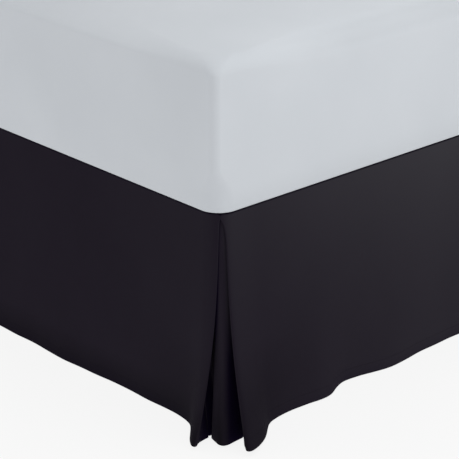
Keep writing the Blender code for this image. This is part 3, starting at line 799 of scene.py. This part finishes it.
def corner_underlay(corner, cloth_finish):
    depth = depth_rows()
    first, last = UNDERLAY[0].cloth, UNDERLAY[-1].cloth
    cloth = np.linspace(first, last, UNDERLAY_COLUMNS) * MM
    across_hem, back_hem, lift = (field[None, :] * MM for field in table_curve(UNDERLAY, cloth / MM))
    along, out = outline(np.abs(cloth), UNDERLAY_INSET)
    at_foot = cloth < 0
    across = np.where(at_foot, -along, out)[None, :]
    back = np.where(at_foot, -out, along)[None, :]
    sideways = np.clip((cloth / MM - UNDERLAY_FOOT_TO) / (UNDERLAY_SIDE_FROM - UNDERLAY_FOOT_TO), 0.0, 1.0)
    power = FOOT_POWER + (SIDE_POWER - FOOT_POWER) * sideways
    share = corner.flare * depth[:, None] ** power[None, :]
    top = DROP - TUCK_DEPTH
    x = across + share * (across_hem - across)
    slack = UNDERLAY_SLACK * rise(-cloth, *SLACK_SPAN)[None, :] * rise(depth, *SLACK_DEPTH)[:, None]
    y = back + share * (back_hem - back) + slack * (1 - share)
    z = top + depth[:, None] * (lift - top)
    points = np.stack([corner.side * (BED_WIDTH / 2 + x), FOOT_Y + y, z], axis=-1)
    name = "corner_underlay_" + corner.name
    made, _ = sewn_sheet(name + "_cloth", points, cloth, depth, cloth_finish, -corner.side)
    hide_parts(name)


def ring_points(half_width, foot, head, radius, arc_steps=8, runs=(40, 60)):
    """Points round a round-cornered rectangle, anticlockwise from the foot end of its right foot corner.

    runs holds how many steps the short and the long straight sides take. A row is (x, y, away, sideways).
    away is the distance along the outline from the nearest corner, and sideways is 1 on the long sides and 0
    elsewhere.
    """
    corners = (
        (half_width - radius, foot + radius, -90), (half_width - radius, head - radius, 0),
        (-half_width + radius, head - radius, 90), (-half_width + radius, foot + radius, 180),
    )
    points = []
    for number, (x, y, start) in enumerate(corners):
        for step in range(arc_steps + 1):
            angle = math.radians(start + 90 * step / arc_steps)
            points.append((x + radius * math.cos(angle), y + radius * math.sin(angle), 0.0, 0.0))
        after_x, after_y, after_start = corners[(number + 1) % 4]
        angle = math.radians(after_start)
        to_x, to_y = after_x + radius * math.cos(angle), after_y + radius * math.sin(angle)
        from_x, from_y = points[-1][:2]
        length, steps = math.hypot(to_x - from_x, to_y - from_y), runs[(number + 1) % 2]
        sideways = float(number % 2 == 0)
        for step in range(1, steps):
            share = 0.5 - 0.5 * math.cos(math.pi * step / steps)
            x, y = from_x + (to_x - from_x) * share, from_y + (to_y - from_y) * share
            points.append((x, y, length * min(share, 1 - share), sideways))
    return np.array(points)


def stacked_solid(name, layers, finish, cap_steps=0, crown=None, sharp_degrees=None):
    """A closed solid through stacked rings of (x, y, z), closed on top by copies drawn in to its middle.

    Sides take their uv from the run round the ring and up the profile, and level faces from x and y.
    """
    count = len(layers[0])
    layers = list(layers)
    last = layers[-1]
    middle = np.array([0.0, (FOOT_Y + HEAD_Y) / 2])
    for step in range(1, cap_steps + 1):
        share = 1 - step / (cap_steps + 1)
        flat = middle + (last[:, :2] - middle) * share
        height = last[:, 2].mean() + (last[:, 2] - last[:, 2].mean()) * share**3
        layers.append(np.column_stack([flat, height + crown(flat)]))
    tip_height = layers[-1][:, 2].mean()
    if crown:
        tip_height += crown(middle[None, :])[0] - crown(layers[-1][:, :2]).mean()
    verts = np.vstack(layers + [[[middle[0], middle[1], tip_height]]])
    ids = np.arange(count)
    after = np.roll(ids, -1)
    faces = [tuple(ids[::-1])]
    for level in range(len(layers) - 1):
        low, high = level * count, (level + 1) * count
        faces += list(zip(low + ids, low + after, high + after, high + ids))
    top, tip = (len(layers) - 1) * count, len(verts) - 1
    faces += [(top + i, top + j, tip) for i, j in zip(ids, after)]
    made = add_mesh(name, verts, faces, finish, sharp_degrees=sharp_degrees)
    run = run_of(np.vstack([layers[0], layers[0][:1]]))
    climbs = [np.linalg.norm(upper - lower, axis=1).mean() for lower, upper in zip(layers, layers[1:])]
    climb = np.concatenate([[0.0], np.cumsum(climbs)])
    layer = made.data.uv_layers.new(name="cloth")
    for polygon in made.data.polygons:
        level_face = abs(polygon.normal.z) > LEVEL_NORMAL
        corners = [made.data.loops[i].vertex_index for i in polygon.loop_indices]
        wraps = any(v % count == count - 1 for v in corners) and any(v % count == 0 for v in corners)
        for loop, vertex in zip(polygon.loop_indices, corners):
            if level_face or vertex == tip:
                uv = verts[vertex][:2]
            else:
                ring, place = divmod(vertex, count)
                uv = (run[-1] if wraps and place == 0 else run[place], climb[ring])
            layer.data[loop].uv = (float(uv[0]), float(uv[1]))
    return made


def deck(cloth_finish):
    edge = CLOTH + GAP
    layers = []
    for inset, height in ((edge, DROP - CLOTH), (edge, DROP)):
        ring = ring_points(BED_WIDTH / 2 - inset, FOOT_Y + inset, HEAD_Y, CORNER_RADIUS - inset)
        layers.append(np.column_stack([ring[:, :2], np.full(len(ring), height)]))
    made = stacked_solid("deck_cloth", layers, cloth_finish, sharp_degrees=40)
    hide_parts("deck")


def quarter_turn(steps):
    """Angles from 0 to 90 degrees, in radians."""
    return [math.radians(90 * step / steps) for step in range(steps + 1)]


def mattress(finish):
    """A soft block in a fitted cover: rolled lower edge, full sides and a low crown.

    The upper edge is tight at the foot's corners. It falls away softly along the foot and is round along the
    sides. At the foot the cover bulges a little forward.
    """
    base, low_radius = DROP + GAP, CORNER_RADIUS + MATTRESS_OVERHANG

    def ring(inset, height, fall):
        share = float(rise(height, *SHARPEN_HEIGHT))
        radius = low_radius + (HIGH_RADIUS - low_radius) * share + max(inset, 0.0) * share
        fuller = FULLNESS * math.sin(math.pi * min(height / (MATTRESS_HEIGHT - fall), 1.0))
        out = MATTRESS_OVERHANG + fuller - inset
        points = ring_points(
            BED_WIDTH / 2 + out, FOOT_Y - out - BULGE * share, HEAD_Y + out, radius, MATTRESS_ARC_STEPS,
        )
        return np.column_stack([points[:, :2], np.full(len(points), base + height)])

    def rings(edge):
        wall = np.linspace(LOW_ROLL, MATTRESS_HEIGHT - edge.fall, WALL_STEPS + 1)[1:-1]
        levels = [(LOW_ROLL * (1 - math.sin(a)), LOW_ROLL * (1 - math.cos(a))) for a in quarter_turn(4)]
        levels += [(0.0, height) for height in wall]
        for angle in quarter_turn(ROLL_STEPS):
            inset, fallen = edge.reach * (1 - math.cos(angle)), edge.fall * (1 - math.sin(angle))
            levels.append((inset, MATTRESS_HEIGHT - fallen))
        return [ring(inset, height, edge.fall) for inset, height in levels]

    plan = ring_points(BED_WIDTH / 2, FOOT_Y, HEAD_Y, low_radius, MATTRESS_ARC_STEPS)
    far_share = rise(plan[:, 2], *FOOT_EDGE_SPAN)[:, None]
    side_share = (plan[:, 3] * rise(plan[:, 2], *SIDE_EDGE_SPAN))[:, None]
    layers = []
    for near, far, beside in zip(rings(NEAR_EDGE), rings(FOOT_EDGE), rings(SIDE_EDGE)):
        layers.append((near * (1 - far_share) + far * far_share) * (1 - side_share) + beside * side_share)

    def crown(flat):
        across = np.clip(np.abs(flat[:, 0]) / (BED_WIDTH / 2), 0, 1)
        along = np.clip(np.abs(flat[:, 1] - (FOOT_Y + HEAD_Y) / 2) / (BED_LENGTH / 2), 0, 1)
        return CROWN * (1 - across**3) * (1 - along**3)

    made = stacked_solid("mattress_cover", layers, finish, cap_steps=30, crown=crown)
    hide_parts("mattress")


def welt_profile(middle):
    """A welt's half round about this height, as (inset, height)."""
    angles = [math.radians(180 * step / 8 - 90) for step in range(9)]
    return [(-WELT * math.cos(angle), middle + WELT * math.sin(angle)) for angle in angles]


def box_spring(finish):
    """A covered base with a welt round its upper and lower edges."""
    bottom, top = LEG_HEIGHT, DROP - CLOTH - GAP
    low_welt, high_welt = bottom + WELT_INSET, top - WELT_INSET
    wall = np.linspace(low_welt + WELT_CLEAR, high_welt - WELT_CLEAR, 8)
    profile = [(BEVEL * (1 - math.sin(a)), bottom + BEVEL * (1 - math.cos(a))) for a in quarter_turn(4)]
    profile += welt_profile(low_welt) + [(0.0, height) for height in wall] + welt_profile(high_welt)
    profile += [(BEVEL * (1 - math.cos(a)), top - BEVEL * (1 - math.sin(a))) for a in quarter_turn(4)]
    layers = []
    for inset, height in profile:
        inset = inset + BOX_SPRING_INSET + WELT
        radius = max(CORNER_RADIUS - inset, LEAST_RADIUS)
        ring = ring_points(BED_WIDTH / 2 - inset, FOOT_Y + inset, HEAD_Y - inset, radius)
        layers.append(np.column_stack([ring[:, :2], np.full(len(ring), height)]))
    made = stacked_solid("box_spring_cover", layers, finish)
    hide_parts("box_spring")


def studio():
    """A pale floor, an even pale sky, and softboxes to the right, above the corner and at the foot."""
    corners = [(x * FLOOR_SIZE, y * FLOOR_SIZE, 0) for x, y in ((-1, -1), (1, -1), (1, 1), (-1, 1))]
    mesh = bpy.data.meshes.new("studio_floor")
    mesh.from_pydata(corners, [], [(0, 1, 2, 3)])
    mesh.materials.append(floor_material("pale_floor"))
    floor = bpy.data.objects.new("studio_floor", mesh)
    bpy.context.scene.collection.objects.link(floor)
    world = bpy.data.worlds.new("studio_sky")
    world.use_nodes = True
    sky = world.node_tree.nodes["Background"]
    sky.inputs["Color"].default_value = SKY_COLOUR
    sky.inputs["Strength"].default_value = SKY_STRENGTH
    bpy.context.scene.world = world
    for name, place, aim, width, power, colour in SOFTBOXES:
        light = bpy.data.lights.new(name, "AREA")
        light.size = width
        light.energy = power
        light.color = colour
        lamp = bpy.data.objects.new(name, light)
        lamp.visible_camera = False
        lamp.location = place
        lamp.rotation_euler = (Vector(aim) - Vector(place)).to_track_quat("-Z", "Y").to_euler()
        bpy.context.scene.collection.objects.link(lamp)


def camera():
    data = bpy.data.cameras.new("camera")
    data.lens = CAMERA_LENS
    data.sensor_width = 36.0
    data.clip_start, data.clip_end = 0.05, 100.0
    made = bpy.data.objects.new("camera", data)
    bpy.context.scene.collection.objects.link(made)
    pitch, yaw = math.radians(CAMERA_PITCH), math.radians(CAMERA_YAW)
    toward = Vector((math.sin(yaw) * math.cos(pitch), math.cos(yaw) * math.cos(pitch), -math.sin(pitch)))
    corner = Vector((BED_WIDTH / 2, FOOT_Y, 0.0))
    made.location = corner + Vector(CAMERA_FROM_CORNER)
    made.rotation_euler = toward.to_track_quat("-Z", "Y").to_euler()
    bpy.context.scene.camera = made


camera()
studio()
bpy.context.scene.view_settings.view_transform = "Standard"

cloth_finish = skirt_material("skirt_microfibre")
thread = thread_material("skirt_thread", THREAD_COLOUR)
deck(cloth_finish)
foot_drop(cloth_finish, thread)
for corner, waves, seed in zip(CORNERS, (SIDE_WAVES_RIGHT, SIDE_WAVES_LEFT), (21, 22)):
    side_drop(corner, waves, seed, cloth_finish, thread)
    # Each underlay has its own copy of the cloth, with painted light from its pleat's open side.
    open_side = (OPEN_SIDE[0] * corner.side, OPEN_SIDE[1], 0.0)
    corner_underlay(corner, skirt_material("underlay_microfibre_painted_light_" + corner.name, open_side))
mattress(cotton_material("mattress_cotton", PALE_LOW, PALE_HIGH, COVER_WEAVE, COVER_WRINKLE, shaded=True))
box_spring(cotton_material("box_spring_ticking", OATMEAL_LOW, OATMEAL_HIGH, TICKING_WEAVE, TICKING_WRINKLE))
leg_wood = wood_material("leg_dark_wood")
for name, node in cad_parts.items():
    if name.startswith("leg_"):
        node.data.materials[0] = leg_wood
